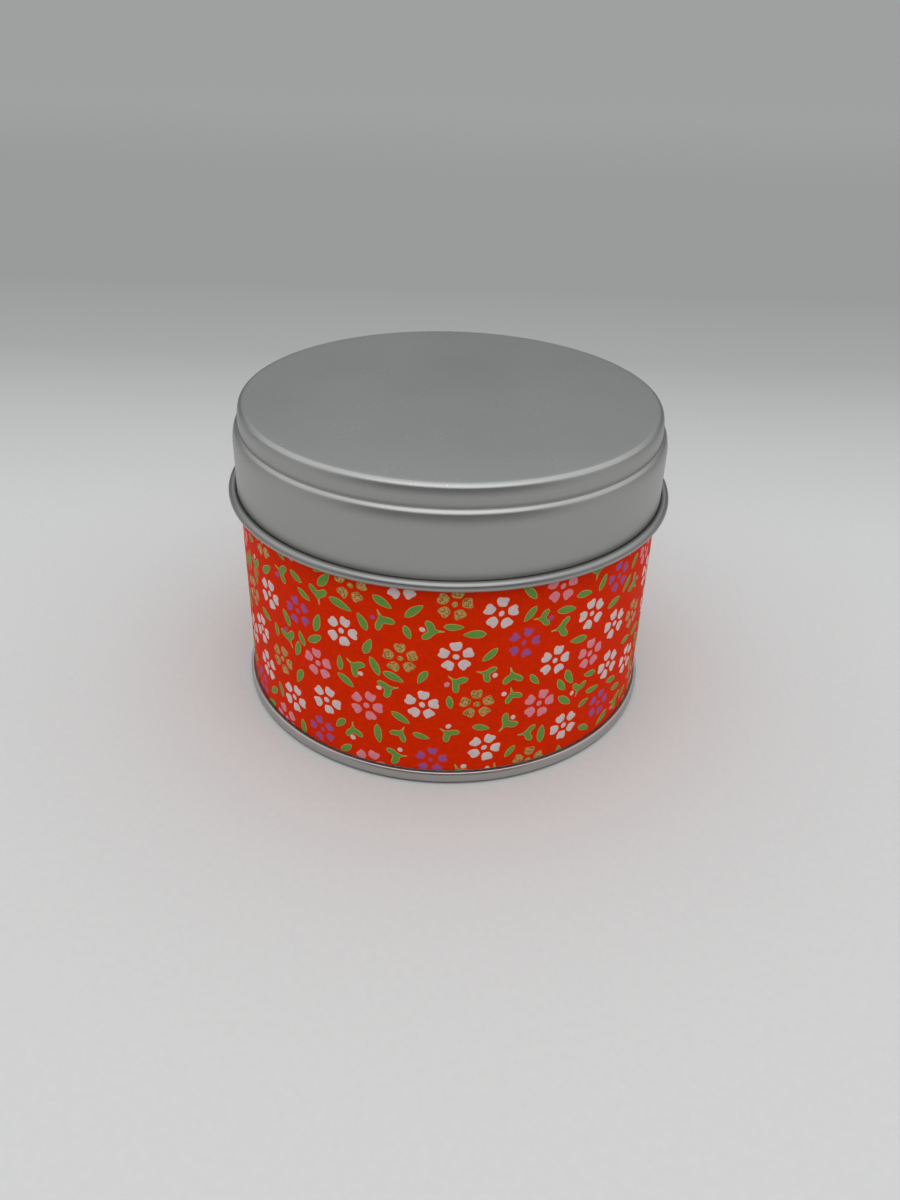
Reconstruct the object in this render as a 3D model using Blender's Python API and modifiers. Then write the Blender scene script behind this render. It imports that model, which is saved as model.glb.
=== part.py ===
"""A low round tea caddy: a seamed tinplate tin wrapped in printed paper, with a slip lid and an inner lid.

Run it with blender --background --python part.py, or from Blender's text editor.
Lengths are in metres, +Z is up, and the origin is the centre of the circle that the tin stands on.
Every turned piece shares one axis, the Z axis, and both lids lift along it.
"""

import math

import bpy

# Driving dimensions: the outside of the closed caddy.
TOP_Z = 0.0590  # top of the lid's panel
PANEL_R = 0.0390  # wall of the lid's raised panel
SHOULDER_Z = 0.05504  # step between the raised panel and the skirt
SKIRT_R = 0.0404  # outside of the lid's skirt
LID_CURL_R = 0.0420  # widest circle, round the rolled edge of the skirt
LID_CURL_Z = 0.04207  # middle of that rolled edge
PAPER_R = 0.0400  # outside of the paper
SEAM_R = 0.04095  # outside of the bottom seam
SEAM_H = 0.00245  # height of the bottom seam

# Sheet, paper and the gaps between pieces.
SHEET = 0.00025  # tinplate
PAPER = 0.00015
PAPER_GAP = 0.00005  # room for the paste between the paper and the tin
SLIDE_GAP = 0.00025  # between the inner lid's wall and the mouth
REST_GAP = 0.00007  # between faces that rest on each other
LAYER_GAP = 0.0001  # between the layers of the seam, and under the paper's lower edge

# Every turned piece has the same steps, so that its flats stay parallel to its neighbours' flats.
STEPS = 40
KNOB_STEPS = 24
MERGE = 0.00001

# Tin body, from its rolled rim down to the hook in the seam.
BODY_R = PAPER_R - PAPER - PAPER_GAP
FLANGE_TOP_Z = SHOULDER_Z - SHEET - REST_GAP
RIM_Z = FLANGE_TOP_Z - SHEET - REST_GAP
RIM_ROLL = 0.00070  # outside radius of the rolled rim
MOUTH_R = BODY_R - 2 * RIM_ROLL
BODY_HOOK_BEND = 0.00025  # inside radius of the hook's bend
BODY_HOOK_Z = 0.0020  # top of the hook

# Bottom end.
FOOT_BEND = 0.00035
COVER_HOOK_R = BODY_R + 0.00012
COVER_HOOK_Z = 0.0011
CHUCK_WALL_R = BODY_R - SHEET - LAYER_GAP - SHEET
CHUCK_BEND = 0.00045
END_PANEL_Z = 0.0028
END_STEP_R = 0.0345  # ring where the end's middle steps down
END_STEP = 0.0005

# Paper strip.
PAPER_LOW_Z = SEAM_H + LAYER_GAP
PAPER_HIGH_Z = 0.0410
LAP_START = math.radians(90)  # the lap is at the back
LAP_STEPS = 1

# Lid.
PANEL_EDGE = 0.0008
SHOULDER_BEND = 0.0006
INNER_CORNER = 0.0003
CURL_HOLLOW = (LID_CURL_R - SKIRT_R) / 2 - SHEET / 2

# Inner lid, its knob and the rivet through both.
PLUG_R = MOUTH_R - SLIDE_GAP
PLUG_DEPTH = 0.0055
PLUG_BEND = 0.0006
FLANGE_R = BODY_R - 0.00035
DISH_TOP_Z = FLANGE_TOP_Z - PLUG_DEPTH
HOLE_R = 0.0017
KNOB_R = 0.0075
KNOB_H = 0.0078
KNOB_EDGE = 0.0012  # rounding of the grip's edge
KNOB_CROWN = 0.0006  # how far the grip's middle stands above its edge
KNOB_WAIST_R = 0.0042
KNOB_WAIST_HIGH = 0.0034  # upper end of the straight waist, above the knob's foot
KNOB_WAIST_LOW = 0.0014
KNOB_FOOT_R = 0.0052
KNOB_FOOT_H = 0.0003
KNOB_BASE_Z = DISH_TOP_Z + REST_GAP
POCKET_R = 0.0033
POCKET_DEPTH = 0.0010
RIVET_R = 0.00145
RIVET_HEAD_R = 0.0030
RIVET_FOOT_H = 0.0006  # flat head under the inner lid
RIVET_DOME_H = 0.0009  # domed head in the pocket
RIVET_DOME_SHARES = ((0.0, 1.0), (0.50, 0.85), (0.90, 0.35), (0.95, 0.0))  # of the head's radius and height


def clear_objects():
    """Empty the scene, so that the script can be run again."""
    for old in list(bpy.data.objects):
        bpy.data.objects.remove(old, do_unlink=True)


def make_material(name, colour, roughness, metallic):
    """A Principled material with a plain colour."""
    material = bpy.data.materials.new(name)
    material.use_nodes = True
    shader = material.node_tree.nodes["Principled BSDF"]
    shader.inputs["Base Color"].default_value = (*colour, 1.0)
    shader.inputs["Roughness"].default_value = roughness
    shader.inputs["Metallic"].default_value = metallic
    return material


def arc(centre_r, centre_z, radius, start, end, steps):
    """Points of a profile along an arc, from one angle in degrees to another, both ends included."""
    points = []
    for step in range(steps + 1):
        angle = math.radians(start + (end - start) * step / steps)
        points.append((centre_r + radius * math.cos(angle), centre_z + radius * math.sin(angle)))
    return points


def wire_object(name, points, closed, parent, material):
    """An object whose mesh is a line through the points, each an (x, y, z)."""
    edges = [(i, i + 1) for i in range(len(points) - 1)]
    if closed:
        edges.append((len(points) - 1, 0))
    mesh = bpy.data.meshes.new(name)
    mesh.from_pydata(points, edges, [])
    mesh.materials.append(material)
    piece = bpy.data.objects.new(name, mesh)
    piece.parent = parent
    caddy.objects.link(piece)
    return piece


def turn(name, profile, closed, parent, material, steps=STEPS):
    """Turn a profile of (radius, height) points round the Z axis, with its faces shaded smooth."""
    points = [(radius, 0.0, height) for radius, height in profile]
    piece = wire_object(name, points, closed, parent, material)
    screw = piece.modifiers.new("Turn", "SCREW")
    screw.axis = "Z"
    screw.angle = math.tau
    screw.steps = steps
    screw.render_steps = steps
    screw.use_merge_vertices = True
    screw.merge_threshold = MERGE
    screw.use_smooth_shade = True
    return piece


def thicken(piece, thickness):
    """Give an open surface its thickness, behind the face that its profile drew."""
    solidify = piece.modifiers.new("Thickness", "SOLIDIFY")
    solidify.thickness = thickness
    solidify.offset = -1.0
    solidify.use_even_offset = True
    solidify.use_quality_normals = True


def make_lid(parent, material):
    """The slip lid: a raised panel, a shoulder, a straight skirt and an outward rolled edge."""
    curl_r = SKIRT_R + CURL_HOLLOW
    profile = [(0.0, TOP_Z)]
    profile += arc(PANEL_R - PANEL_EDGE, TOP_Z - PANEL_EDGE, PANEL_EDGE, 90, 0, 3)
    profile += arc(PANEL_R + INNER_CORNER, SHOULDER_Z + INNER_CORNER, INNER_CORNER, 180, 270, 1)
    profile += arc(SKIRT_R - SHOULDER_BEND, SHOULDER_Z - SHOULDER_BEND, SHOULDER_BEND, 90, 0, 2)
    profile += arc(curl_r, LID_CURL_Z, CURL_HOLLOW, 180, 480, 10)
    lid = turn("lid", profile, False, parent, material)
    thicken(lid, SHEET)


def make_body_shell(parent, material):
    """The tin's wall: rolled inwards at its mouth, and hooked outwards into the seam at its foot."""
    rim_r = BODY_R - RIM_ROLL
    rim_z = RIM_Z - RIM_ROLL
    hook_r = BODY_R + BODY_HOOK_BEND
    hook_z = SHEET + LAYER_GAP + SHEET + BODY_HOOK_BEND
    profile = arc(rim_r, rim_z, RIM_ROLL, 270, 0, 6)
    profile += arc(hook_r, hook_z, BODY_HOOK_BEND, 180, 360, 4)
    profile.append((hook_r + BODY_HOOK_BEND, BODY_HOOK_Z))
    shell = turn("body_shell", profile, False, parent, material)
    thicken(shell, SHEET)


def make_bottom_end(parent, material):
    """The bottom: a stepped panel, a wall inside the tin, and the outer layers of the double seam."""
    ridge = (SEAM_R - COVER_HOOK_R) / 2
    ridge_z = SEAM_H - ridge
    chuck_r = CHUCK_WALL_R + CHUCK_BEND
    profile = [(COVER_HOOK_R, COVER_HOOK_Z)]
    profile += arc(COVER_HOOK_R + ridge, ridge_z, ridge, 180, 0, 4)
    profile += arc(SEAM_R - FOOT_BEND, FOOT_BEND, FOOT_BEND, 0, -90, 2)
    profile += arc(chuck_r, CHUCK_BEND, CHUCK_BEND, -90, -180, 1)
    profile += arc(CHUCK_WALL_R - CHUCK_BEND, END_PANEL_Z - CHUCK_BEND, CHUCK_BEND, 0, 90, 1)
    profile.append((END_STEP_R + END_STEP, END_PANEL_Z))
    profile.append((END_STEP_R, END_PANEL_Z - END_STEP))
    profile.append((0.0, END_PANEL_Z - END_STEP))
    end = turn("bottom_end", profile, False, parent, material)
    thicken(end, SHEET)


def make_seam_compound(parent, material):
    """The soft ring that seals the double seam, in the trough of the body's hook."""
    inside = BODY_R + LAYER_GAP
    outside = BODY_R + 2 * BODY_HOOK_BEND - LAYER_GAP
    middle = (inside + outside) / 2
    high = COVER_HOOK_Z - LAYER_GAP
    low = SHEET + LAYER_GAP + SHEET + LAYER_GAP
    side = low + LAYER_GAP
    outline = [(outside, high), (outside, side), (middle, low), (inside, side), (inside, high)]
    turn("seam_compound", outline, True, parent, material)


def make_paper_wrap(parent, material):
    """The printed strip: once round the tin, its end lapped over its start at the back."""
    lap_rise = PAPER + PAPER_GAP
    line = []
    for step in range(STEPS + LAP_STEPS + 1):
        radius = PAPER_R + (lap_rise if step >= STEPS else 0.0)
        angle = LAP_START + math.tau * step / STEPS
        line.append((radius * math.cos(angle), radius * math.sin(angle), PAPER_LOW_Z))
    paper = wire_object("paper_wrap", line, False, parent, material)
    rise = paper.modifiers.new("Height", "SCREW")
    rise.axis = "Z"
    rise.angle = 0.0
    rise.screw_offset = PAPER_HIGH_Z - PAPER_LOW_Z
    rise.steps = 1
    rise.render_steps = 1
    thicken(paper, PAPER)


def make_inner_lid(parent, material):
    """The inner lid: a dish that plugs the mouth and hangs from a flange on the rim."""
    low_z = DISH_TOP_Z
    profile = [(HOLE_R, low_z)]
    profile += arc(PLUG_R - SHEET - PLUG_BEND, low_z + PLUG_BEND, PLUG_BEND, 270, 360, 3)
    inner_bend = PLUG_BEND / 2
    profile += arc(PLUG_R - SHEET + inner_bend, FLANGE_TOP_Z - inner_bend, inner_bend, 180, 90, 2)
    profile.append((FLANGE_R, FLANGE_TOP_Z))
    inner_lid = turn("inner_lid", profile, False, parent, material)
    thicken(inner_lid, SHEET)


def make_knob(parent, material):
    """The turned knob: a crowned grip on a waist, bored for the rivet, with a pocket for its head."""
    low = KNOB_BASE_Z
    top = low + KNOB_H
    pocket_z = top - POCKET_DEPTH
    outline = [(POCKET_R, top)]
    outline += arc(KNOB_R - KNOB_EDGE, top - KNOB_CROWN - KNOB_EDGE, KNOB_EDGE, 75, -60, 5)
    outline += [(KNOB_WAIST_R, low + KNOB_WAIST_HIGH), (KNOB_WAIST_R, low + KNOB_WAIST_LOW)]
    outline += [(KNOB_FOOT_R, low + KNOB_FOOT_H), (KNOB_FOOT_R, low)]
    outline += [(HOLE_R, low), (HOLE_R, pocket_z), (POCKET_R, pocket_z)]
    turn("inner_lid_knob", outline, True, parent, material, KNOB_STEPS)


def make_rivet(parent, material):
    """The rivet: a flat head under the inner lid, a shank, and a domed head in the knob's pocket."""
    foot_top = DISH_TOP_Z - SHEET - REST_GAP
    foot_low = foot_top - RIVET_FOOT_H
    foot_edge = foot_top - RIVET_FOOT_H * 0.4
    head_z = KNOB_BASE_Z + KNOB_H - POCKET_DEPTH + REST_GAP
    profile = [(RIVET_HEAD_R * out, head_z + RIVET_DOME_H * up) for out, up in RIVET_DOME_SHARES]
    profile += [(RIVET_R, head_z), (RIVET_R, foot_top), (RIVET_HEAD_R, foot_top)]
    profile += [(RIVET_HEAD_R, foot_edge), (RIVET_HEAD_R * 0.7, foot_low), (0.0, foot_low)]
    turn("knob_rivet", profile, False, parent, material, KNOB_STEPS)


def make_empty(name, parent):
    """An empty on the common axis that carries the pieces of one moving group."""
    empty = bpy.data.objects.new(name, None)
    empty.parent = parent
    caddy.objects.link(empty)
    return empty


clear_objects()
caddy = bpy.data.collections.new("tea_caddy")
bpy.context.scene.collection.children.link(caddy)

satin_steel = make_material("satin_lid_steel", (0.36, 0.37, 0.37), 0.42, 1.0)
bright_steel = make_material("tinplate", (0.52, 0.53, 0.53), 0.30, 1.0)
printed_paper = make_material("printed_paper", (0.58, 0.02, 0.004), 0.65, 0.0)
sealing_compound = make_material("sealing_compound", (0.10, 0.10, 0.10), 0.60, 0.0)
knob_metal = make_material("knob_aluminium", (0.60, 0.61, 0.62), 0.33, 1.0)
rivet_metal = make_material("rivet_aluminium", (0.66, 0.67, 0.68), 0.28, 1.0)

tin = make_empty("tin", None)
inner_lid_lift = make_empty("inner_lid_lift", tin)
lid_lift = make_empty("lid_lift", inner_lid_lift)

make_body_shell(tin, bright_steel)
make_bottom_end(tin, satin_steel)
make_seam_compound(tin, sealing_compound)
make_paper_wrap(tin, printed_paper)
make_inner_lid(inner_lid_lift, bright_steel)
make_knob(inner_lid_lift, knob_metal)
make_rivet(inner_lid_lift, rivet_metal)
make_lid(lid_lift, satin_steel)
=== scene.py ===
"""The looks of a low round tea caddy, round its CAD frame.

The tin is satin tinplate in a wrap of printed paper, with an inner lid under its slip lid. Everything
is in metres, in the frame's own coordinates, but the print is laid out in millimetres on the unrolled
paper.
"""

import math
import random

import bmesh
import bpy
import numpy as np
from mathutils import Matrix, Vector
from mathutils.geometry import delaunay_2d_cdt


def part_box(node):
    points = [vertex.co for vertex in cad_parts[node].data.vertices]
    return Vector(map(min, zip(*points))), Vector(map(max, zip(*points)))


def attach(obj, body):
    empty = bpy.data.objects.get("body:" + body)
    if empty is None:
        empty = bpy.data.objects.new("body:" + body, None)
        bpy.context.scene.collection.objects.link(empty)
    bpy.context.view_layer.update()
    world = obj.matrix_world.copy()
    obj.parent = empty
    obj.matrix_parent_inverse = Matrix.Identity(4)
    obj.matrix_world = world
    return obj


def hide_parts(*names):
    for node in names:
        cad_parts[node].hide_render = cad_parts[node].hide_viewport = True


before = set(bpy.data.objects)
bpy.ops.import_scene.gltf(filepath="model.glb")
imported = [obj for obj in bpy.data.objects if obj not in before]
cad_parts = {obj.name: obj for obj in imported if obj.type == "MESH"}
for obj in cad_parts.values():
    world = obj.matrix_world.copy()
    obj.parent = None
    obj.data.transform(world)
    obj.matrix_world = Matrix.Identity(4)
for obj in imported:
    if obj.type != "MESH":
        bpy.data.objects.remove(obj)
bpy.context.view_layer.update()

MM = 0.001
SEGMENTS = 256  # steps of a large turned piece
WALL_SEGMENTS = 720  # of the tin's wall, to give its narrow weld a shape
KNOB_SEGMENTS = 128

# ---------------------------------------------------------------- places and sizes, from the frame

lid_low, lid_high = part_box("lid")
shell_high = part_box("body_shell")[1]
end_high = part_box("bottom_end")[1]
paper_low, paper_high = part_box("paper_wrap")
inner_low, inner_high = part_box("inner_lid")
knob_low, knob_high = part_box("inner_lid_knob")
rivet_low, rivet_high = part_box("knob_rivet")

SHEET = 0.25 * MM
PAPER = 0.15 * MM

TOP_Z = lid_high.z
LID_CURL_R = lid_high.x
PANEL_R = LID_CURL_R - 3.0 * MM
SKIRT_R = LID_CURL_R - 1.6 * MM
LEDGE_Z = TOP_Z - 3.96 * MM
LID_CURL = 0.645 * MM  # hollow inside the rolled edge
LID_CURL_Z = lid_low.z + LID_CURL + SHEET + 0.15 * MM

PAPER_R = paper_high.x
LAP_RISE = paper_high.y - paper_high.x
BODY_R = PAPER_R - 0.20 * MM
RIM_Z = shell_high.z
RIM_ROLL = 0.70 * MM
SEAM_R = end_high.x
SEAM_H = paper_low.z - 0.11 * MM
COVER_HOOK_R = BODY_R + 0.12 * MM
CHUCK_R = BODY_R - 0.60 * MM
END_PANEL_Z = end_high.z - SHEET
FLANGE_R = inner_high.x
FLANGE_Z = inner_high.z
DISH_Z = inner_low.z + SHEET
PLUG_R = BODY_R - 2 * RIM_ROLL - 0.25 * MM
HOLE_R = 1.7 * MM


# ---------------------------------------------------------------- turned shapes


def arc(centre_r, centre_z, radius, start, end, steps):
    """Points of a profile along an arc between two angles in degrees, both ends included."""
    points = []
    for step in range(steps + 1):
        angle = math.radians(start + (end - start) * step / steps)
        points.append((centre_r + radius * math.cos(angle), centre_z + radius * math.sin(angle)))
    return points


def eased_corner(radius, height, tight, wide, start=90, ease=18):
    """Round a level face over to a wall at this radius: a tight arc, then a wide one that ends upright.

    The tight arc runs from the start angle to the ease angle, in degrees above the horizontal.
    """
    turn = math.radians(ease)
    tight_r = radius - wide * (1 - math.cos(turn)) - tight * math.cos(turn)
    tight_z = height - tight
    wide_z = tight_z + tight * math.sin(turn) - wide * math.sin(turn)
    points = arc(tight_r, tight_z, tight, start, ease, 12)
    return points + arc(radius - wide, wide_z, wide, ease, 0, 8)[1:]


def line(start, end, steps):
    """Points along a straight stretch of a profile, without its two ends."""
    points = []
    for step in range(1, steps):
        share = step / steps
        across = start[0] + (end[0] - start[0]) * share
        up = start[1] + (end[1] - start[1]) * share
        points.append((across, up))
    return points


def sheet_outline(face, thickness):
    """The outline of a sheet whose face runs down its outer side: the face, then the back again."""
    face = np.array(face)
    steps = np.diff(face, axis=0)
    steps /= np.linalg.norm(steps, axis=1)[:, None]
    normals = np.stack([-steps[:, 1], steps[:, 0]], axis=1)
    before = np.vstack([normals[:1], normals])
    after = np.vstack([normals, normals[-1:]])
    middle = before + after
    middle /= np.einsum("ij,ij->i", middle, before)[:, None]
    back = face - middle * thickness
    back[:, 0] = np.maximum(back[:, 0], 0.0)
    return [tuple(point) for point in np.vstack([face, back[::-1]])]


def new_piece(name, mesh, sharp_angle):
    """A smooth piece with this mesh, but sharp where its faces turn by more than so many degrees."""
    mesh.shade_smooth()
    mesh.set_sharp_from_angle(angle=math.radians(sharp_angle))
    piece = bpy.data.objects.new(name, mesh)
    bpy.context.scene.collection.objects.link(piece)
    return piece


def turned(name, outline, closed, material, segments=SEGMENTS, shape=None):
    """Turn (radius, height) points round the Z axis. shape(radius, height, angle) may move them."""
    profile = np.array(outline)
    count = len(profile)
    angles = np.arange(segments) * math.tau / segments
    radius = np.repeat(profile[None, :, 0], segments, axis=0)
    height = np.repeat(profile[None, :, 1], segments, axis=0)
    around = np.repeat(angles[:, None], count, axis=1)
    if shape:
        radius, height = shape(radius, height, around)
    points = np.stack([radius * np.cos(around), radius * np.sin(around), height], axis=-1)
    rows = count if closed else count - 1
    faces = []
    for i in range(segments):
        here = i * count
        there = ((i + 1) % segments) * count
        for j in range(rows):
            k = (j + 1) % count
            faces.append((here + j, here + k, there + k, there + j))
    mesh = bpy.data.meshes.new(name)
    mesh.from_pydata(points.reshape(-1, 3).tolist(), [], faces)
    work = bmesh.new()
    work.from_mesh(mesh)
    on_axis = [v for v in work.verts if math.hypot(v.co.x, v.co.y) < 1e-7]
    bmesh.ops.remove_doubles(work, verts=on_axis, dist=1e-6)
    work.to_mesh(mesh)
    work.free()
    mesh.materials.append(material)
    return new_piece(name, mesh, 40)


def fit(piece, body, node):
    """Put a finished piece on its body, in place of its CAD node."""
    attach(piece, body)
    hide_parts(node)


# ---------------------------------------------------------------- node materials


class Nodes:
    """A short way to write a node tree, with the place that its textures are laid out by."""

    def __init__(self, tree, coordinates):
        self.tree = tree
        self.place = self.add("ShaderNodeTexCoord").outputs[coordinates]

    def add(self, kind, **settings):
        node = self.tree.nodes.new(kind)
        for key, value in settings.items():
            setattr(node, key, value)
        return node

    def feed(self, socket, value):
        """Link a socket to another, or give it a plain value."""
        if isinstance(value, bpy.types.NodeSocket):
            self.tree.links.new(value, socket)
        elif isinstance(value, tuple) and len(value) == 3 and len(socket.default_value) == 4:
            socket.default_value = (*value, 1.0)
        else:
            socket.default_value = value

    def axes(self):
        """The X, Y and Z of the place."""
        node = self.add("ShaderNodeSeparateXYZ")
        self.feed(node.inputs[0], self.place)
        return tuple(node.outputs)

    def math(self, operation, first, second=0.0, third=None):
        node = self.add("ShaderNodeMath", operation=operation)
        self.feed(node.inputs[0], first)
        self.feed(node.inputs[1], second)
        if third is not None:
            self.feed(node.inputs[2], third)
        return node.outputs[0]

    def stretch(self, scale):
        """The place times a scale per axis."""
        node = self.add("ShaderNodeVectorMath", operation="MULTIPLY")
        self.feed(node.inputs[0], self.place)
        self.feed(node.inputs[1], scale)
        return node.outputs[0]

    def scaled(self, colour, tone):
        """A colour times a tone."""
        node = self.add("ShaderNodeVectorMath", operation="SCALE")
        self.feed(node.inputs[0], colour)
        self.feed(node.inputs["Scale"], tone)
        return node.outputs[0]

    def noise(self, per_mm, detail=2.0, rough=0.5, vector=None):
        """Noise from 0 to 1 whose grain has so many bumps to a millimetre."""
        node = self.add("ShaderNodeTexNoise")
        self.feed(node.inputs["Vector"], vector or self.place)
        self.feed(node.inputs["Scale"], per_mm / MM)
        self.feed(node.inputs["Detail"], detail)
        self.feed(node.inputs["Roughness"], rough)
        return node.outputs["Fac"]

    def span(self, value, low, high, to_low=0.0, to_high=1.0, kind="SMOOTHSTEP"):
        """Map a range of values to another, clamped at both ends."""
        node = self.add("ShaderNodeMapRange", interpolation_type=kind)
        self.feed(node.inputs["Value"], value)
        self.feed(node.inputs["From Min"], low)
        self.feed(node.inputs["From Max"], high)
        self.feed(node.inputs["To Min"], to_low)
        self.feed(node.inputs["To Max"], to_high)
        return node.outputs["Result"]

    def mix(self, share, first, second, kind="RGBA", blend="MIX"):
        node = self.add("ShaderNodeMix", data_type=kind, blend_type=blend)
        self.feed(node.inputs["Factor"], share)
        self.feed(node.inputs["A"], first)
        self.feed(node.inputs["B"], second)
        return node.outputs["Result"]

    def ramp(self, share, stops):
        """The colour at a share of the way along some (place, colour) stops."""
        node = self.add("ShaderNodeValToRGB")
        self.feed(node.inputs["Fac"], share)
        elements = node.color_ramp.elements
        while len(elements) > 1:
            elements.remove(elements[-1])
        elements[0].position = stops[0][0]
        elements[0].color = (*stops[0][1], 1)
        for place, colour in stops[1:]:
            elements.new(place).color = (*colour, 1)
        return node.outputs["Color"]


class Surface(Nodes):
    """The node tree of a new material."""

    def __init__(self, name):
        self.material = bpy.data.materials.new(name)
        self.material.use_nodes = True
        super().__init__(self.material.node_tree, "Object")

    def bump(self, height, depth_mm):
        """A bump whose height of 1 stands depth_mm proud."""
        node = self.add("ShaderNodeBump")
        self.feed(node.inputs["Strength"], 1.0)
        self.feed(node.inputs["Distance"], depth_mm * MM)
        self.feed(node.inputs["Height"], height)
        return node.outputs["Normal"]

    def finish(self, colour, roughness, metallic, normal=None, specular=None):
        """Give the material's shader its inputs, and return the material."""
        shader = self.tree.nodes["Principled BSDF"]
        self.feed(shader.inputs["Base Color"], colour)
        self.feed(shader.inputs["Roughness"], roughness)
        self.feed(shader.inputs["Metallic"], metallic)
        if normal is not None:
            self.feed(shader.inputs["Normal"], normal)
        if specular is not None:
            self.feed(shader.inputs["Specular IOR Level"], specular)
        return self.material


def tinted(tint, tone):
    """A tint of three parts times a tone."""
    return tuple(part * tone for part in tint)


def satin_tinplate(name, colour, roughness, painted_shades, flecks_from):
    """Silver tinplate: fine frosted grain, faint clouds, bright flecks above some height, painted shade.

    Each painted shade is (height, reach, darkness): painted shade that is darkest at that height and
    fades over the reach above it, for the shade in a fold of the metal or at its foot.
    """
    fleck_tone = 0.28
    fleck_polish = 0.06
    fleck_rise = 0.8
    n = Surface(name)
    height = n.axes()[2]
    clouds = n.noise(0.035, 2.0, 0.5)
    grain = n.noise(6.0, 2.0, 0.6)
    patches = n.span(n.noise(0.10, 2.0, 0.5), 0.46, 0.60)
    flecks = n.math("MULTIPLY", n.span(n.noise(2.6, 1.0, 0.4), 0.665, 0.71), patches)
    flecks = n.math("MULTIPLY", flecks, n.span(height, flecks_from - 0.1 * MM, flecks_from))
    tone = n.span(clouds, 0.3, 0.7, 0.985, 1.015)
    tone = n.math("MULTIPLY", tone, n.span(grain, 0.2, 0.8, 0.96, 1.04))
    tone = n.math("MULTIPLY_ADD", flecks, fleck_tone, tone)
    # Painted shade: each band darkens the colour just above its height, for the shade in a fold or at
    # the foot.
    for shade_z, reach, darkness in painted_shades:
        below = n.span(height, shade_z - 0.05 * MM, shade_z)
        above = n.span(height, shade_z, shade_z + reach, darkness, 0.0)
        tone = n.math("MULTIPLY", tone, n.math("SUBTRACT", 1.0, n.math("MULTIPLY", below, above)))
    rough = n.span(clouds, 0.25, 0.75, roughness - 0.01, roughness + 0.01)
    rough = n.math("MULTIPLY_ADD", flecks, -fleck_polish, rough)
    proud = n.math("ADD", grain, n.math("MULTIPLY", flecks, fleck_rise))
    return n.finish(n.scaled(colour, tone), rough, 1.0, n.bump(proud, 0.004))


def bright_tinplate(name, colour):
    """Plain tinplate inside the tin: smoother, with fine rolling lines and soft stains."""
    n = Surface(name)
    clouds = n.noise(0.08, 3.0, 0.6)
    lines = n.noise(1.0, 2.0, 0.5, n.stretch((1.0, 1.0, 14.0)))
    grain = n.noise(7.0, 2.0, 0.5)
    tone = n.span(clouds, 0.3, 0.7, 0.90, 1.03)
    tone = n.math("MULTIPLY", tone, n.span(lines, 0.2, 0.8, 0.95, 1.04))
    rough = n.span(clouds, 0.25, 0.75, 0.24, 0.34)
    height = n.math("ADD", lines, n.math("MULTIPLY", grain, 0.5))
    return n.finish(n.scaled(colour, tone), rough, 1.0, n.bump(height, 0.003))


def turned_metal(name, colour, roughness, lines_per_mm, depth_mm):
    """Metal with the fine rings that a lathe leaves round the Z axis."""
    n = Surface(name)
    x, y, z = n.axes()
    radius = n.math("SQRT", n.math("ADD", n.math("MULTIPLY", x, x), n.math("MULTIPLY", y, y)))
    section = n.add("ShaderNodeCombineXYZ")
    n.feed(section.inputs[0], radius)
    n.feed(section.inputs[1], z)
    rings = n.noise(lines_per_mm, 2.0, 0.6, section.outputs[0])
    clouds = n.noise(0.3, 2.0, 0.5)
    tone = n.span(rings, 0.25, 0.75, 0.93, 1.05)
    tone = n.math("MULTIPLY", tone, n.span(clouds, 0.3, 0.7, 0.95, 1.03))
    rough = n.span(clouds, 0.25, 0.75, roughness - 0.03, roughness + 0.05)
    return n.finish(n.scaled(colour, tone), rough, 1.0, n.bump(rings, depth_mm))


def rubbery(name, colour):
    """The sealing compound: dull, with a slightly uneven skin."""
    n = Surface(name)
    skin = n.noise(3.0, 3.0, 0.6)
    uneven = n.mix(skin, tinted(colour, 0.8), tinted(colour, 1.2))
    return n.finish(uneven, n.span(skin, 0.2, 0.8, 0.55, 0.75), 0.0, n.bump(skin, 0.02))


PAPER_RED = (0.70, 0.0235, 0.0006)
FIBRE_LOW = 0.7
FIBRE_HIGH = 1.3


def sheet_nodes(name):
    """The shared start of the paper and ink materials, as (nodes, height of the sheet's fibres)."""
    n = Surface(name)
    fibres = n.noise(1.6, 4.0, 0.65, n.stretch((1.0, 1.0, 0.45)))
    long_fibres = n.noise(0.55, 3.0, 0.7, n.stretch((1.0, 1.0, 2.6)))
    return n, n.math("ADD", fibres, long_fibres)


def sheet_red(n, height):
    """The sheet's vermilion, a little uneven with its fibres."""
    return n.scaled(PAPER_RED, n.span(height, FIBRE_LOW, FIBRE_HIGH, 0.92, 1.07))


def red_paper():
    """Unprinted parts of the sheet's vermilion face."""
    n, height = sheet_nodes("vermilion_paper")
    rough = n.span(height, FIBRE_LOW, FIBRE_HIGH, 0.50, 0.60)
    return n.finish(sheet_red(n, height), rough, 0.0, n.bump(height, 0.010), 0.02)


def gold_flake():
    """The blossoms' gold: a bright flake in small winding islands over a brown ground."""
    dull_gold = (0.46, 0.255, 0.068)
    light_gold = (0.66, 0.425, 0.165)
    brown = (0.235, 0.125, 0.026)
    n, height = sheet_nodes("gold_ink")
    flake = n.noise(2.9, 1.5, 0.5)
    glint = n.noise(6.0, 2.0, 0.6)
    islands = n.span(flake, 0.43, 0.50)
    colour = n.mix(islands, brown, n.mix(n.span(glint, 0.35, 0.65), dull_gold, light_gold))
    rough = n.span(islands, 0.0, 1.0, 0.60, 0.42)
    raised = n.math("MULTIPLY_ADD", islands, 1.5, height)
    return n.finish(colour, rough, n.math("MULTIPLY", islands, 0.35), n.bump(raised, 0.010), 0.2)


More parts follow.
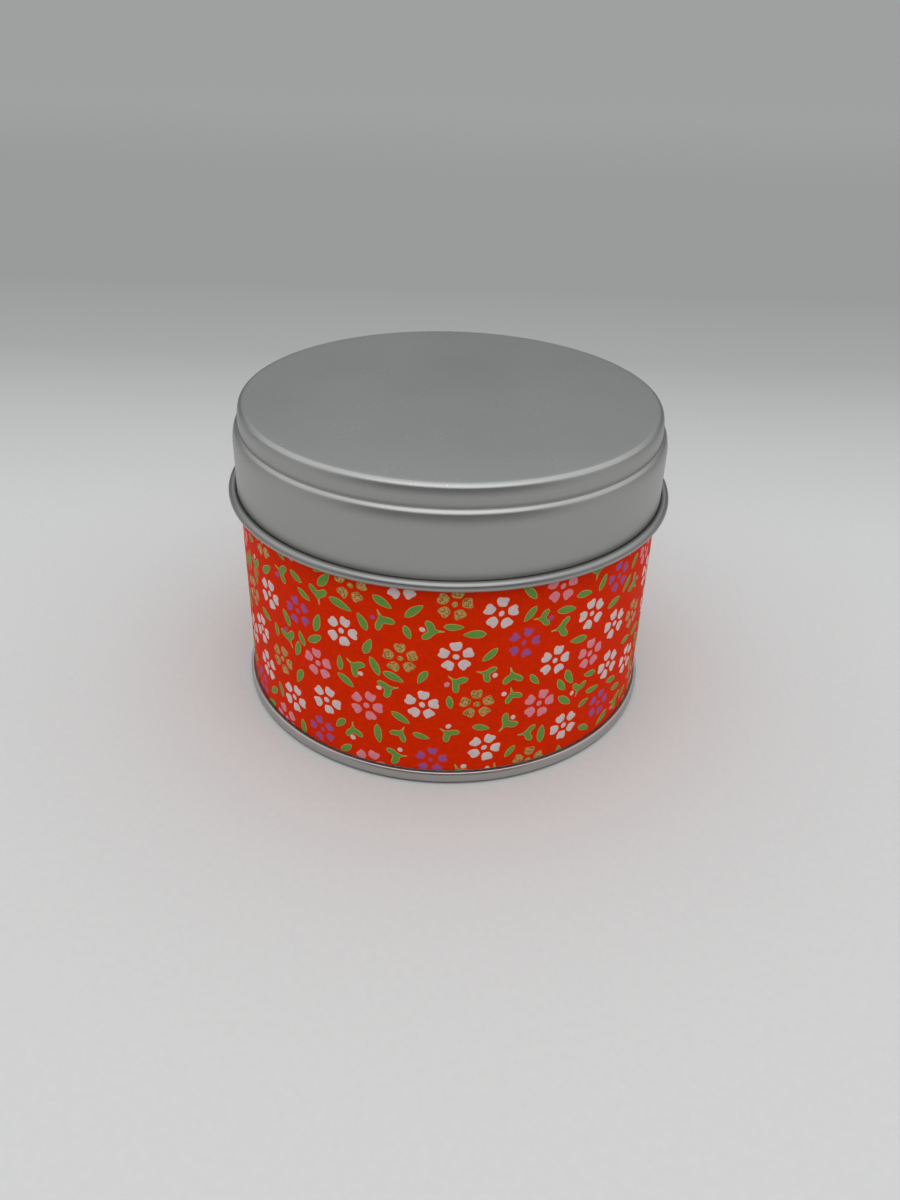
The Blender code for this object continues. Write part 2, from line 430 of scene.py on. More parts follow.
def ink(name, colour, hidden, roughness=0.55, metallic=0.0, soft=False):
    """Ink on the red sheet: grainy, with pinholes over a share of it. A soft ink fades at its edge."""
    n, height = sheet_nodes(name)
    grain = n.noise(6.0, 3.0, 0.7)
    mottle = n.noise(1.3, 2.0, 0.5)
    tone = n.span(grain, 0.2, 0.8, 0.90, 1.08)
    tone = n.math("MULTIPLY", tone, n.span(mottle, 0.25, 0.75, 0.93, 1.05))
    cover = n.span(grain, hidden - 0.05, hidden + 0.05)
    if soft:
        inside = n.add("ShaderNodeAttribute", attribute_name="ink").outputs["Fac"]
        cover = n.math("MULTIPLY", cover, n.span(inside, 0.0, 0.9))
    shown = n.mix(cover, sheet_red(n, height), n.scaled(colour, tone))
    rough = n.span(grain, 0.2, 0.8, roughness - 0.05, roughness + 0.05)
    return n.finish(shown, rough, n.math("MULTIPLY", cover, metallic), n.bump(height, 0.008), 0.10)


def paper_core():
    """The cut edges and the back of the sheet: undyed fibre with a little of the red soaked in."""
    n = Surface("paper_core")
    fibres = n.noise(3.0, 4.0, 0.7)
    colour = n.mix(fibres, (0.62, 0.30, 0.22), (0.78, 0.66, 0.56))
    return n.finish(colour, 0.85, 0.0, n.bump(fibres, 0.02))


# ---------------------------------------------------------------- the metal pieces


def make_lid(material):
    """The slip lid: flat panel, shoulder, skirt, and an outward rolled edge with its raw edge on top."""
    wall_r = PANEL_R + 0.25 * MM
    edge = eased_corner(wall_r, TOP_Z, tight=1.0 * MM, wide=5.2 * MM)
    bend = 1.15 * MM
    ledge_end = 70
    shoulder_z = LEDGE_Z + bend * (1 - math.sin(math.radians(ledge_end)))
    shoulder = eased_corner(SKIRT_R, shoulder_z, tight=bend, wide=7.0 * MM, start=ledge_end)
    crease = 0.08 * MM
    face = [(0.0, TOP_Z)] + line((0.0, TOP_Z), edge[0], 40) + edge
    face += arc(wall_r + crease, LEDGE_Z + crease, crease, 180, 270, 4)
    face += shoulder
    flare = 0.10 * MM
    flare_length = 4.0 * MM
    tilt = 2 * flare / flare_length
    curl_r = LID_CURL_R - LID_CURL - SHEET
    flare_end = LID_CURL_Z - LID_CURL * tilt
    face += line(face[-1], (SKIRT_R, flare_end + flare_length), 6)
    flare_steps = 8
    for step in range(flare_steps + 1):
        share = step / flare_steps
        face.append((SKIRT_R + flare * share * share, flare_end + flare_length * (1 - share)))
    raw_edge = 486  # where the roll ends, in degrees
    face += arc(curl_r, LID_CURL_Z, LID_CURL, 180 + math.degrees(tilt), raw_edge, 28)[1:]
    sink = 0.05 * MM
    uneven = 0.02 * MM

    def panel_shape(radius, height, around):
        """The panel sinks a hair towards its middle, and its level wanders a little."""
        share = np.clip(1 - (radius / (PANEL_R - MM)) ** 2, 0, 1)
        on_panel = (height > TOP_Z - 1.5 * SHEET) * share
        wander = np.cos(2 * around + 0.7) * 0.5 + np.cos(3 * around - 1.1) * 0.3
        return radius, height - on_panel * (sink + uneven * wander * radius / PANEL_R)

    lid = turned("slip_lid", sheet_outline(face, SHEET), False, material, SEGMENTS, panel_shape)
    fit(lid, "outer_lid", "lid")


def make_body_shell(material):
    """The tin's wall: a rolled rim, a hook in the bottom seam, and a welded side seam at the back."""
    rim_r = BODY_R - RIM_ROLL
    rim_z = RIM_Z - RIM_ROLL
    bend = 0.25 * MM
    hook_z = 2 * SHEET + 0.1 * MM + bend
    hook_top = 2.0 * MM
    face = arc(rim_r, rim_z, RIM_ROLL, 275, 0, 24)
    face += line((BODY_R, rim_z), (BODY_R, hook_z), 12)
    face += arc(BODY_R + bend, hook_z, bend, 180, 360, 10)
    face.append((BODY_R + 2 * bend, hook_top))
    weld_angle = math.radians(96)
    weld_half = 0.55 * MM / BODY_R
    weld_rise = 0.05 * MM
    weld_end = 1.6  # where it has faded out, in half widths
    outer_share = 0.6  # of the rise, on the outer face
    weld_low = 3 * MM

    def weld(radius, height, around):
        """The weld stands a little proud on both faces of the wall."""
        off = np.abs(around - weld_angle) / weld_half
        proud = weld_rise * np.clip(weld_end - off, 0, 1)
        inside = radius < BODY_R - SHEET / 2
        straight = (height > weld_low) & (height < rim_z)
        return radius + np.where(inside, -proud, proud * outer_share) * straight, height

    shell = turned("tin_wall", sheet_outline(face, SHEET), True, material, WALL_SEGMENTS, weld)
    fit(shell, "tin", "body_shell")


def make_bottom_end(material):
    """The bottom: stepped panel, chuck wall, foot, and the double seam's outer wall and cover hook."""
    foot = 0.80 * MM
    bend = 0.45 * MM
    step_r = 34.5 * MM
    step = 0.5 * MM
    ease = 0.25 * MM
    hook_low = 1.1 * MM
    outer = eased_corner(SEAM_R, SEAM_H, tight=0.22 * MM, wide=1.4 * MM, ease=34)
    inner = outer[0][0] - COVER_HOOK_R
    face = [(COVER_HOOK_R, hook_low)]
    face += arc(COVER_HOOK_R + inner, SEAM_H - inner, inner, 180, 90, 8)
    face += outer[1:]
    face += arc(SEAM_R - foot, foot, foot, 0, -90, 8)
    face += arc(CHUCK_R + bend, bend, bend, -90, -180, 8)
    face += arc(CHUCK_R - bend, END_PANEL_Z - bend, bend, 0, 90, 8)
    face += arc(step_r + step, END_PANEL_Z - ease, ease, 90, 135, 3)
    face += arc(step_r, END_PANEL_Z - step + ease, ease, -45, -90, 3)
    face += line((step_r, END_PANEL_Z - step), (0.0, END_PANEL_Z - step), 20)
    face.append((0.0, END_PANEL_Z - step))
    end = turned("bottom_end_plate", sheet_outline(face, SHEET), False, material)
    fit(end, "tin", "bottom_end")


def make_inner_lid(material):
    """The inner lid: a shallow dish with a stiffening ring, hung from a flange with an eased edge."""
    bend = 0.6 * MM
    lip = 0.3 * MM
    ring_r = 24 * MM
    ring_w = 1.6 * MM
    ring_h = 0.5 * MM
    ring_steps = 12
    edge = 0.05 * MM
    face = [(HOLE_R, DISH_Z)]
    face += line((HOLE_R, DISH_Z), (ring_r - ring_w, DISH_Z), 14)
    for step in range(ring_steps + 1):
        share = step / ring_steps
        swell = 0.5 - 0.5 * math.cos(math.tau * share)
        face.append((ring_r + ring_w * (2 * share - 1), DISH_Z + ring_h * swell))
    face += line((ring_r + ring_w, DISH_Z), (PLUG_R - SHEET - bend, DISH_Z), 8)
    face += arc(PLUG_R - SHEET - bend, DISH_Z + bend, bend, 270, 360, 8)
    face += arc(PLUG_R - SHEET + lip, FLANGE_Z - lip, lip, 180, 90, 6)
    face.append((FLANGE_R - edge, FLANGE_Z))
    face.append((FLANGE_R, FLANGE_Z - edge))
    lid = turned("inner_lid_dish", sheet_outline(face, SHEET), True, material)
    fit(lid, "inner_closure", "inner_lid")


def make_knob(material):
    """The turned knob: a crowned grip with an eased edge, on a waist, with a pocket for the rivet."""
    low = knob_low.z
    top = knob_high.z
    grip_r = knob_high.x
    edge = 1.2 * MM
    crown = 0.6 * MM
    waist_r = 4.2 * MM
    under_grip = 1.1 * MM
    above_foot = 1.0 * MM
    foot_r = waist_r + 1.1 * MM
    foot_h = 0.25 * MM
    pocket_r = 3.3 * MM
    pocket_low = top - 1.0 * MM
    chamfer = 0.12 * MM
    outline = [(pocket_r, top - chamfer), (pocket_r + chamfer, top)]
    outline += arc(grip_r - edge, top - crown - edge, edge, 78, -62, 16)
    outline += arc(waist_r + under_grip, low + 3.4 * MM, under_grip, 118, 180, 6)
    outline += arc(waist_r + above_foot, low + 1.4 * MM, above_foot, 180, 262, 8)
    outline += [(foot_r, low + foot_h), (foot_r, low)]
    outline += [(HOLE_R, low), (HOLE_R, pocket_low), (pocket_r, pocket_low)]
    knob = turned("inner_lid_grip", outline, True, material, KNOB_SEGMENTS)
    fit(knob, "inner_closure", "inner_lid_knob")


def make_rivet(material):
    """The rivet: a domed head in the knob's pocket, a shank, and a flat head under the inner lid."""
    head_r = rivet_high.x
    dome_r = head_r * 0.95
    dome_h = 0.9 * MM
    dome_steps = 12
    head_z = rivet_high.z - dome_h
    shank_r = 1.45 * MM
    foot_z = rivet_low.z + 0.6 * MM
    chamfer = 0.08 * MM
    corner = 0.35 * MM
    outline = [(0.0, rivet_high.z)]
    for step in range(1, dome_steps + 1):
        angle = math.radians(90 * step / dome_steps)
        outline.append((dome_r * math.sin(angle), head_z + dome_h * math.cos(angle)))
    outline += [(shank_r, head_z), (shank_r, foot_z), (head_r - chamfer, foot_z)]
    outline += [(head_r, foot_z - chamfer), (head_r, foot_z - 0.25 * MM)]
    outline += arc(head_r - corner, rivet_low.z + corner, corner, 0, -90, 6)
    outline.append((0.0, rivet_low.z))
    rivet = turned("inner_lid_rivet", outline, False, material, KNOB_SEGMENTS)
    fit(rivet, "inner_closure", "knob_rivet")


# ---------------------------------------------------------------- the printed paper

STRIP_HALF = math.pi * PAPER_R / MM  # half way round, in mm
LAP = 6.2  # how far the strip's end runs over its start, in mm
LAP_RAMP = 3.5  # how far before its own start the strip begins to climb over it, in mm
STRIP_LOW = paper_low.z / MM
STRIP_HIGH = paper_high.z / MM
REPEAT = (118.0, 48.0)  # the print repeats after this many mm along and up
INK_HEIGHT = 0.02 * MM
INKS = (
    "paper", "white", "cream", "pink", "pink_edge", "violet", "gold", "gold_edge", "green",
    "leaf_gold", "core",
)

PRINT_SEED = 12

# The kinds of blossom on one repeat, as (fill, edge, width of the edge in mm, number).
BLOSSOMS = (
    ("violet", "violet", 0.50, 8), ("gold", "gold_edge", 0.13, 12), ("pink", "pink_edge", 0.12, 12),
    ("white", "cream", 0.12, 26),
)
BLOSSOM_REACH = 3.35  # the radius that a blossom covers, in mm
PETAL_OUT = 2.17  # from the middle of a blossom to the middle of a petal, in mm
SPRIGS = 50
LEAVES = 100
BUDS = ("white", "cream", "cream", "pink", "violet", None)
BUD_OFFSETS = ((-1.3, -1.1), (0.2, 1.5), (1.4, -1.0))
BUD_EDGE = 0.12
SPRIG_EDGE = 0.13
LEAF_EDGE = (0.30, 0.25)  # how much shorter and narrower the green is than its gold edge, in mm


def ring(count):
    """So many even steps of a full turn, in radians."""
    return [math.tau * step / count for step in range(count)]


def anticlockwise(loop):
    """The loop, reversed if it runs clockwise."""
    area = 0.0
    for before, here in zip(loop[-1:] + loop[:-1], loop):
        area += before[0] * here[1] - here[0] * before[1]
    return loop if area > 0 else loop[::-1]


def placed(points, along, up, turn):
    """Turn points by so many degrees and move them to a place on the sheet."""
    c = math.cos(math.radians(turn))
    s = math.sin(math.radians(turn))
    return [(along + x * c - y * s, up + x * s + y * c) for x, y in points]


def smooth_loop(points, parts=3):
    """A closed Catmull-Rom curve through the points."""
    count = len(points)
    result = []
    for i in range(count):
        a, b, c, d = (points[(i + k - 1) % count] for k in range(4))
        for step in range(parts):
            t = step / parts
            point = []
            for m in range(2):
                bend = 2 * a[m] - 5 * b[m] + 4 * c[m] - d[m]
                twist = 3 * b[m] - a[m] - 3 * c[m] + d[m]
                point.append(0.5 * (2 * b[m] + (c[m] - a[m]) * t + bend * t * t + twist * t ** 3))
            result.append(tuple(point))
    return result


def inset(points, distance):
    """Move each corner of an anticlockwise loop inwards along its normal."""
    count = len(points)
    moved = []
    for i in range(count):
        before, here, after = points[i - 1], points[i], points[(i + 1) % count]
        along = Vector((after[0] - before[0], after[1] - before[1])).normalized()
        moved.append((here[0] - along.y * distance, here[1] + along.x * distance))
    return moved


# A petal in mm, its middle at the origin: a narrow end towards the blossom, a broad notched end away.
PETAL = (
    (-0.98, -0.20), (-0.80, -0.68), (-0.18, -0.97), (0.44, -1.05), (0.82, -0.82), (0.83, -0.32),
    (0.75, 0.02), (0.85, 0.36), (0.80, 0.82), (0.40, 1.02), (-0.20, 0.95), (-0.82, 0.60),
)

# A sprig in mm: a thin stem down, a stout leaflet to one side and a shorter one to the other. Its first
# two points are the end of the stem.
SPRIG = (
    (-0.11, -2.10), (0.13, -2.14), (0.24, -1.30), (0.50, -0.72), (1.15, -0.50), (1.85, 0.02),
    (2.05, 0.82), (1.45, 1.12), (0.62, 0.78), (-0.08, 0.66), (-0.62, 1.26), (-1.40, 1.62),
    (-1.80, 1.12), (-1.42, 0.22), (-0.66, -0.50), (-0.20, -1.20),
)


class Layout:
    """The print's motifs on one repeat, each in the roomiest of some random places."""

    TRIES = 300

    def __init__(self, seed):
        self.rng = random.Random(seed)
        self.shapes = []
        self.taken = None  # the (x, y, radius) discs that the motifs so far cover

    def place(self, discs, turns):
        """Find a place for a motif that covers these (x, y, radius) discs, as (along, up, turn)."""
        draws = np.array([[self.rng.random() for _ in range(3)] for _ in range(self.TRIES)])
        along = draws[:, 0] * REPEAT[0]
        up = draws[:, 1] * REPEAT[1]
        turn = turns[0] + draws[:, 2] * (turns[1] - turns[0])
        c = np.cos(np.radians(turn))[:, None]
        s = np.sin(np.radians(turn))[:, None]
        x, y, radius = np.array(discs).T
        disc_along = along[:, None] + c * x - s * y
        disc_up = up[:, None] + s * x + c * y
        places = np.stack([disc_along, disc_up], axis=-1)
        best = 0
        if self.taken is not None:
            apart = places[:, :, None, :] - self.taken[None, None, :, :2]
            apart -= np.round(apart / REPEAT) * REPEAT
            room = np.linalg.norm(apart, axis=-1)
            room = room - radius[None, :, None] - self.taken[None, None, :, 2]
            best = int(room.min(axis=(1, 2)).argmax())
        covered = np.column_stack([places[best], radius])
        self.taken = covered if self.taken is None else np.vstack([self.taken, covered])
        return along[best], up[best], turn[best]

    def add(self, points, place, ink):
        self.shapes.append((placed(points, *place), ink))

    def add_dot(self, x, y, radius, place, fill, edge, band):
        """A small round dab at (x, y) from the middle of a motif."""
        squash = 1 + self.rng.uniform(-0.12, 0.12)
        turn = self.rng.uniform(0, 360)
        for reach, ink in ((radius, edge), (radius - band, fill)):
            oval = [(reach * squash * math.cos(a), reach / squash * math.sin(a)) for a in ring(12)]
            self.add(placed(oval, x, y, turn), place, ink)

    def add_blossom(self, fill, edge, band):
        """Five loose petals round a small middle, each an outline of one ink filled with another."""
        rng = self.rng
        place = self.place(((0, 0, BLOSSOM_REACH),), (-25, 25))
        for k in range(5):
            angle = 90 + 72 * k + rng.uniform(-4, 4)
            out = PETAL_OUT + rng.uniform(-0.10, 0.10)
            x = out * math.cos(math.radians(angle))
            y = out * math.sin(math.radians(angle))
            cut = [(px + rng.uniform(-0.07, 0.07), py + rng.uniform(-0.07, 0.07)) for px, py in PETAL]
            self.add(placed(smooth_loop(cut, 2), x, y, angle), place, edge)
            self.add(placed(smooth_loop(inset(cut, band), 2), x, y, angle), place, fill)
        self.add_dot(0, 0, 0.56 + rng.uniform(-0.04, 0.06), place, fill, edge, band * 0.8)

    def add_sprig(self):
        """A green sprig edged with gold, often with a bud beside it."""
        rng = self.rng
        size = rng.uniform(0.86, 1.04)
        mirror = rng.choice((-1, 1))
        bud = rng.choice(BUDS)
        bud_x, bud_y = rng.choice(BUD_OFFSETS)
        discs = [(0.0, -1.5, 0.3), (0.1, -0.1, 0.7)]
        discs += [(1.3 * mirror, 0.3, 0.8), (-1.1 * mirror, 0.8, 0.8)]
        if bud:
            discs.append((bud_x, bud_y, 0.6))
        place = self.place(discs, (0, 360))
        outer = [(x * size, y * size) for x, y in SPRIG]
        for points, ink in ((outer, "leaf_gold"), (inset(outer[2:], SPRIG_EDGE), "green")):
            self.add([(x * mirror, y) for x, y in smooth_loop(points)], place, ink)
        if bud:
            fill = "white" if bud == "cream" else bud
            edge = "cream" if bud == "white" else bud
            self.add_dot(bud_x, bud_y, rng.uniform(0.46, 0.58), place, fill, edge, BUD_EDGE)

    def add_leaf(self):
        """A green leaf edged with gold."""
        rng = self.rng
        length = rng.triangular(2.6, 4.8, 3.3)
        width = 0.25 * length + 0.52 + rng.uniform(-0.12, 0.12)
        bend = rng.uniform(-0.16, 0.16)
        lean = rng.uniform(-0.25, 0.25)
        discs = [(reach * length, 0, width / 2) for reach in (-0.28, 0, 0.28)]
        place = self.place(discs, (0, 180))
        self.add(leaf(length, width, bend, lean), place, "leaf_gold")
        green = leaf(length - LEAF_EDGE[0], width - LEAF_EDGE[1], bend, lean)
        self.add(green, place, "green")


def leaf(length, width, bend, lean):
    """A blunt oval whose spine bends a little and which is broader towards one end."""
    points = []
    steps = 9
    for side in (1, -1):
        for step in range(steps):
            share = step / steps if side == 1 else 1 - step / steps
            bulge = math.sin(math.pi * share) ** 0.62 * (1 + lean * math.cos(math.pi * share))
            spine = bend * math.sin(math.pi * share)
            points.append(((share - 0.5) * length, spine + side * width / 2 * bulge))
    return points


def print_shapes():
    """Every printed shape on the strip, in printing order, as (loop of points, ink)."""
    layout = Layout(PRINT_SEED)
    for fill, edge, band, count in BLOSSOMS:
        for _ in range(count):
            layout.add_blossom(fill, edge, band)
    for _ in range(SPRIGS):
        layout.add_sprig()
    for _ in range(LEAVES):
        layout.add_leaf()
    strip = []
    for across in (-2, -1, 0, 1):
        for over in (-1, 0, 1):
            for points, ink in layout.shapes:
                moved = [(x + across * REPEAT[0], y + over * REPEAT[1]) for x, y in points]
                xs, ys = zip(*moved)
                beside = max(xs) > -STRIP_HALF and min(xs) < STRIP_HALF + LAP
                if beside and max(ys) > STRIP_LOW and min(ys) < STRIP_HIGH:
                    strip.append((anticlockwise(moved), ink))
    return strip


def strip_radius(along):
    """The outside radius of the strip, which climbs over its own start at the back."""
    climb = np.clip((along - (STRIP_HALF - LAP_RAMP)) / LAP_RAMP, 0, 1)
    return PAPER_R + LAP_RISE * climb * climb * (3 - 2 * climb)


def triangulate(points, edges, loops):
    """Triangles between points on the strip, as (corners, triangles, the loops round each)."""
    found = delaunay_2d_cdt([Vector(point) for point in points], edges, loops, 0, 1e-6, True)
    corners = np.array([tuple(point) for point in found[0]])
    middles = corners[np.array(found[2])].mean(axis=1)
    inside = (middles[:, 0] > -STRIP_HALF) & (middles[:, 0] < STRIP_HALF + LAP)
    inside &= (middles[:, 1] > STRIP_LOW) & (middles[:, 1] < STRIP_HIGH)
    kept = np.nonzero(inside)[0]
    return corners, [tuple(found[2][k]) for k in kept], [found[5][k] for k in kept]


def cut_face(shapes):
    """The strip's face, cut along every printed outline, as (corners, triangles, ink of each)."""
    left = -STRIP_HALF
    right = STRIP_HALF + LAP
    columns = 210
    rows = 26
    xs = [left + (right - left) * i / columns for i in range(columns + 1)]
    zs = [STRIP_LOW + (STRIP_HIGH - STRIP_LOW) * j / rows for j in range(rows + 1)]
    points = [(x, zs[0]) for x in xs] + [(right, z) for z in zs[1:]]
    points += [(x, zs[-1]) for x in reversed(xs[:-1])] + [(left, z) for z in reversed(zs[1:-1])]
    edges = [(i, (i + 1) % len(points)) for i in range(len(points))]
    for j, z in enumerate(zs[1:-1]):
        shift = 0.5 * (right - left) / columns * (j % 2)
        points += [(x + shift, z) for x in xs[1:-1]]
    loops = []
    for loop, _ in shapes:
        loops.append(list(range(len(points), len(points) + len(loop))))
        points += loop
    corners, triangles, sources = triangulate(points, edges, loops)
    inks = [INKS.index(shapes[max(source)][1]) if source else 0 for source in sources]
    return corners, triangles, inks


def rim_of(triangles):
    """The edges that only one triangle has, in that triangle's direction."""
    directed = set()
    for a, b, c in triangles:
        directed.update(((a, b), (b, c), (c, a)))
    return sorted(edge for edge in directed if (edge[1], edge[0]) not in directed)


def add_back(corners, triangles):
    """Flat corners and triangles of the plain back of the strip, and the quads of its cut edges."""
    columns = 200
    rim = rim_of(triangles)
    numbers = sorted({corner for edge in rim for corner in edge})
    place = {number: k for k, number in enumerate(numbers)}
    points = [tuple(corners[number]) for number in numbers]
    edges = [(place[a], place[b]) for a, b in rim]
    for i in range(1, columns):
        x = -STRIP_HALF + (2 * STRIP_HALF + LAP) * i / columns
        for share in (0.2, 0.4, 0.6, 0.8):
            points.append((x, STRIP_LOW + (STRIP_HIGH - STRIP_LOW) * share))
    back, faces, _ = triangulate(points, edges, [])
    start = len(corners)
    reversed_faces = [(start + a, start + c, start + b) for a, b, c in faces]
    quads = [(b, a, start + place[a], start + place[b]) for a, b in rim]
    return back, reversed_faces + quads


def make_paper_wrap(materials):
    """The printed strip: one sheet cut along its printed outlines, bent round the tin and lapped."""
    front, triangles, inks = cut_face(print_shapes())
    bare = np.zeros(len(front), bool)
    bare[np.array(triangles)[np.array(inks) == 0]] = True
    back, others = add_back(front, triangles)
    inked = np.concatenate([np.where(bare, 0.0, 1.0), np.zeros(len(back))])
    flat = np.vstack([front, back])
    radius = strip_radius(flat[:, 0]) + inked * INK_HEIGHT
    radius[len(front):] -= PAPER
    angle = flat[:, 0] * MM / PAPER_R - math.pi / 2
    points = np.stack([radius * np.cos(angle), radius * np.sin(angle), flat[:, 1] * MM], axis=1)
    mesh = bpy.data.meshes.new("printed_paper")
    mesh.from_pydata(points.tolist(), [], triangles + others)
    for name in INKS:
        mesh.materials.append(materials[name])
    mesh.polygons.foreach_set("material_index", inks + [INKS.index("core")] * len(others))
    mesh.attributes.new("ink", "FLOAT", "POINT").data.foreach_set("value", inked.astype(np.float32))
    work = bmesh.new()
    work.from_mesh(mesh)
    bmesh.ops.delete(work, geom=[v for v in work.verts if not v.link_faces], context="VERTS")
    work.to_mesh(mesh)
    work.free()
    paper = new_piece("printed_paper", mesh, 50)
    fit(paper, "tin", "paper_wrap")


def paper_materials():
    """One material for the bare sheet, one for each ink and one for the cut edge."""
    return {
        "paper": red_paper(),
        "white": ink("white_ink", (0.66, 0.555, 0.55), 0.16),
        "cream": ink("cream_ink", (0.85, 0.50, 0.40), 0.20),
        "pink": ink("pink_ink", (0.74, 0.235, 0.275), 0.18),
        "pink_edge": ink("pink_edge_ink", (0.81, 0.22, 0.235), 0.24),
        "violet": ink("violet_ink", (0.33, 0.088, 0.29), 0.16, soft=True),
        "gold": gold_flake(),
        "gold_edge": ink("gold_edge_ink", (0.55, 0.27, 0.06), 0.25, roughness=0.45, metallic=0.20),
        "green": ink("green_ink", (0.132, 0.290, 0.051), 0.16),
        "leaf_gold": ink("leaf_gold_ink", (0.46, 0.375, 0.11), 0.16, roughness=0.45, metallic=0.15),
        "core": paper_core(),
    }


# ---------------------------------------------------------------- floor, light and camera

# Painted light on the floor's colour, from the tent's open front to its back, at (metres along Y, tone).
FLOOR_PAINTED_LIGHT = (
    (-0.60, 0.26), (-0.22, 0.57), (0.0, 0.57), (0.06, 0.555), (0.12, 0.475), (0.20, 0.345), (0.30, 0.29),
    (0.60, 0.30), (1.0, 0.34),
)
FLOOR_TINT = (1.01, 0.985, 0.975)
FLOOR_RADIUS = 30.0

# The tent's brightness, at (height, tone). Heights, and reaches to the side and to the front, are the
# parts along Z, X and Y of a direction of length 1.
TENT_TONES = (
    (0.0, 0.11), (0.24, 0.12), (0.34, 0.18), (0.42, 0.36), (0.50, 0.80), (0.60, 1.13), (0.80, 1.19),
    (1.0, 1.2),
)
TENT_TINT = (0.955, 1.0, 1.015)
SIDE_REACH = (0.50, 0.95)  # where the side walls start to show and show in full
SIDE_WALL = 0.82
SIDE_SHINE = (0.50, 1.28)  # the same walls as the metal reflects them, low down and higher up
SHINE_HEIGHTS = (0.12, 0.42)
FRONT_REACH = (-0.92, -0.55)  # from the middle of the open front to its edge
FRONT_SHADE = 0.30
ROOF_HEIGHTS = (0.35, 0.70)  # where the roof starts over the open front, and where it covers it
BACKDROP = (0.352, 0.357, 0.361)  # what the camera sees beyond the floor

LAMP_PLACE = (0.02, -0.45, 0.75)
LAMP_TARGET = (0.0, 0.0, 0.03)
LAMP_SIZE = 1.05
LAMP_POWER = 1.9
LAMP_COLOUR = (1.0, 0.995, 0.985)

# The camera stands close in front, looking down, with a slight turn and lean. Angles are in degrees.
CAMERA_PLACE = (0.0, -0.1762, 0.12445)
CAMERA_DOWN = 32.1
CAMERA_RIGHT = 0.29
CAMERA_LEAN = 1.76
CAMERA_LENS = 29.8


def make_floor():
    """A plain pale floor with painted light, dimmer at the open front and beyond the tin, as in a light
    tent.
    """
    bpy.ops.mesh.primitive_circle_add(
        vertices=96, radius=FLOOR_RADIUS, fill_type="NGON", location=(0, 0, 0))
    floor = bpy.context.object
    floor.name = "floor"
    start = FLOOR_PAINTED_LIGHT[0][0]
    length = FLOOR_PAINTED_LIGHT[-1][0] - start
    # Painted light: the floor's colour dims along Y away from the tin, in place of the lamp's falloff.
    stops = [((place - start) / length, tinted(FLOOR_TINT, tone)) for place, tone in FLOOR_PAINTED_LIGHT]
    n = Surface("pale_floor_painted_light")
    share = n.span(n.axes()[1], start, start + length, kind="LINEAR")
    grain = n.span(n.noise(0.8, 2.0, 0.5), 0.2, 0.8, 0.985, 1.015)
    floor.data.materials.append(n.finish(n.scaled(n.ramp(share, stops), grain), 0.85, 0.0))


def make_world():
    """A light tent: pale above, greyer towards its back and sides, and dark at its open front."""
    world = bpy.data.worlds.new("light_tent")
    bpy.context.scene.world = world
    world.use_nodes = True
    n = Nodes(world.node_tree, "Generated")
    x, y, z = n.axes()
    rays = n.add("ShaderNodeLightPath").outputs
    inside = n.ramp(z, [(height, tinted(TENT_TINT, tone)) for height, tone in TENT_TONES])
    shine = n.span(z, *SHINE_HEIGHTS, *SIDE_SHINE)
    wall = n.mix(rays["Is Glossy Ray"], SIDE_WALL, shine, "FLOAT")
    sides = n.span(n.math("ABSOLUTE", x), *SIDE_REACH, 0.0, wall)
    front = n.span(y, *FRONT_REACH, FRONT_SHADE)
    roof = n.span(z, *ROOF_HEIGHTS)
    tent = n.tree.nodes["Background"]
    n.feed(tent.inputs["Color"], n.mix(1.0, inside, sides, blend="LIGHTEN"))
    n.feed(tent.inputs["Strength"], n.math("MAXIMUM", front, roof))
    backdrop = n.add("ShaderNodeBackground")
    n.feed(backdrop.inputs["Color"], BACKDROP)
    seen = n.add("ShaderNodeMixShader")
    n.feed(seen.inputs[0], rays["Is Camera Ray"])
    n.feed(seen.inputs[1], tent.outputs[0])
    n.feed(seen.inputs[2], backdrop.outputs[0])
    n.feed(n.tree.nodes["World Output"].inputs["Surface"], seen.outputs[0])


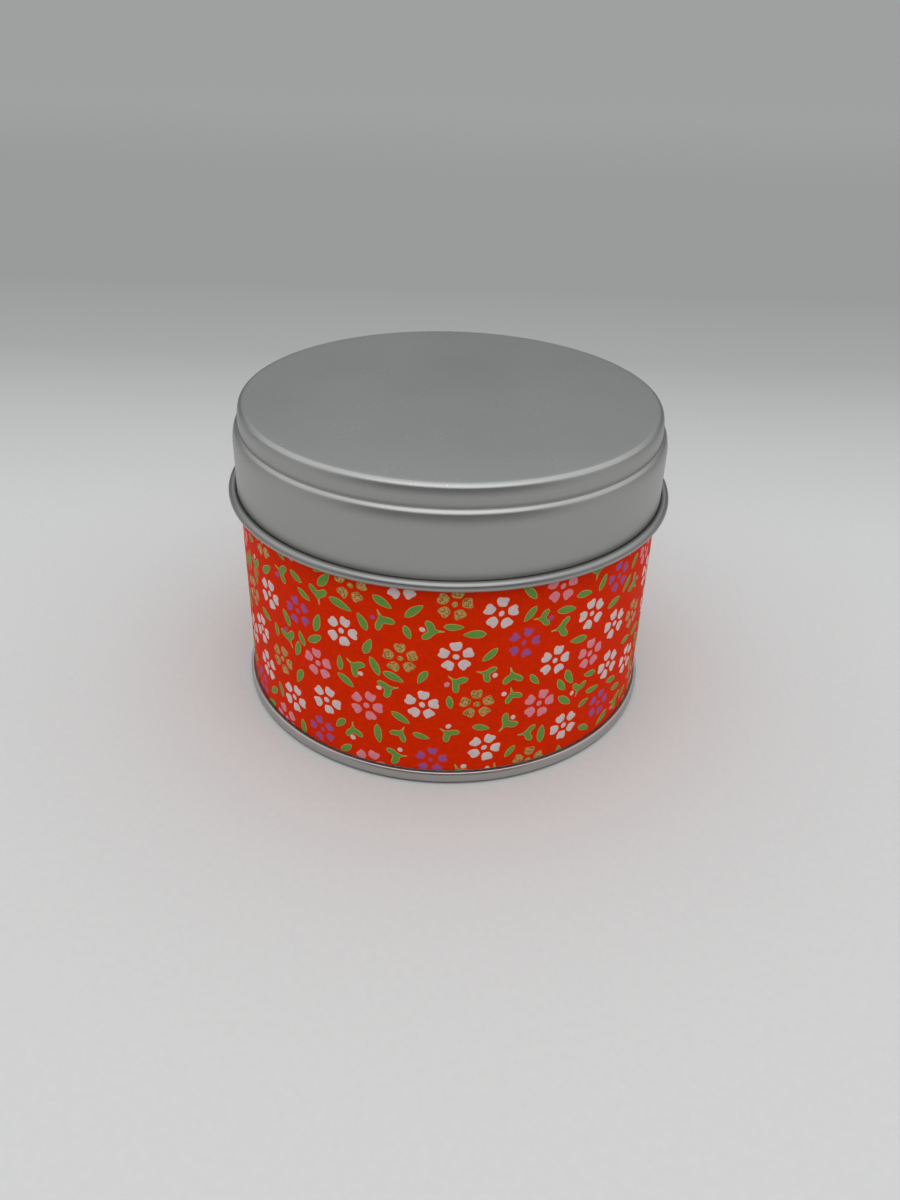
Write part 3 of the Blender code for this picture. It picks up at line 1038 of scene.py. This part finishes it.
def make_lamp():
    """One broad soft light above and a little in front, like the tent's lamp panel."""
    light = bpy.data.lights.new("lamp_panel", "AREA")
    light.shape = "DISK"
    light.size = LAMP_SIZE
    light.energy = LAMP_POWER
    light.color = LAMP_COLOUR
    lamp = bpy.data.objects.new("lamp_panel", light)
    lamp.location = LAMP_PLACE
    aim = Vector(LAMP_TARGET) - Vector(LAMP_PLACE)
    lamp.rotation_euler = aim.to_track_quat("-Z", "Y").to_euler()
    bpy.context.scene.collection.objects.link(lamp)


def make_camera():
    """The camera at the photo's angle."""
    data = bpy.data.cameras.new("camera")
    data.lens = CAMERA_LENS
    data.sensor_width = 36.0
    data.sensor_fit = "AUTO"
    data.clip_start = 0.01
    camera = bpy.data.objects.new("camera", data)
    down = math.radians(CAMERA_DOWN)
    right = math.radians(CAMERA_RIGHT)
    level = math.cos(down)
    forward = Vector((math.sin(right) * level, math.cos(right) * level, -math.sin(down)))
    look = forward.to_track_quat("-Z", "Y").to_matrix().to_4x4()
    lean = Matrix.Rotation(math.radians(CAMERA_LEAN), 4, "Z")
    camera.matrix_world = Matrix.Translation(CAMERA_PLACE) @ look @ lean
    bpy.context.scene.collection.objects.link(camera)
    bpy.context.scene.camera = camera
    bpy.context.scene.view_settings.view_transform = "Standard"


# ---------------------------------------------------------------- the scene

# Painted shade on the lid: darker just above the ledge's crease, and over the top of the rolled edge and
# the lowest part of the skirt.
LID_PAINTED_SHADE = ((LEDGE_Z, 0.9 * MM, 0.28), (LID_CURL_Z, 2.6 * MM, 0.30))
# Painted shadow where the bottom seam meets the floor: darkest at the floor, gone 0.95 mm up.
SEAM_FOOT_SHADOW = ((0.0, 0.95 * MM, 0.95),)

lid_tin = satin_tinplate("satin_tinplate", (0.384, 0.380, 0.372), 0.37, LID_PAINTED_SHADE, TOP_Z - 0.5 * MM)
seam_tin = satin_tinplate("seam_tinplate", (0.455, 0.450, 0.438), 0.33, SEAM_FOOT_SHADOW, TOP_Z)
inner_tin = bright_tinplate("bright_tinplate", (0.66, 0.665, 0.66))

make_lid(lid_tin)
make_body_shell(inner_tin)
make_bottom_end(seam_tin)
make_inner_lid(inner_tin)
make_knob(turned_metal("turned_aluminium", (0.70, 0.71, 0.72), 0.30, 6.0, 0.006))
make_rivet(turned_metal("rivet_aluminium", (0.76, 0.77, 0.78), 0.24, 3.0, 0.003))
make_paper_wrap(paper_materials())

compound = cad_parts["seam_compound"]
compound.data.materials.clear()
compound.data.materials.append(rubbery("sealing_compound", (0.05, 0.05, 0.05)))

make_floor()
make_world()
make_lamp()
make_camera()
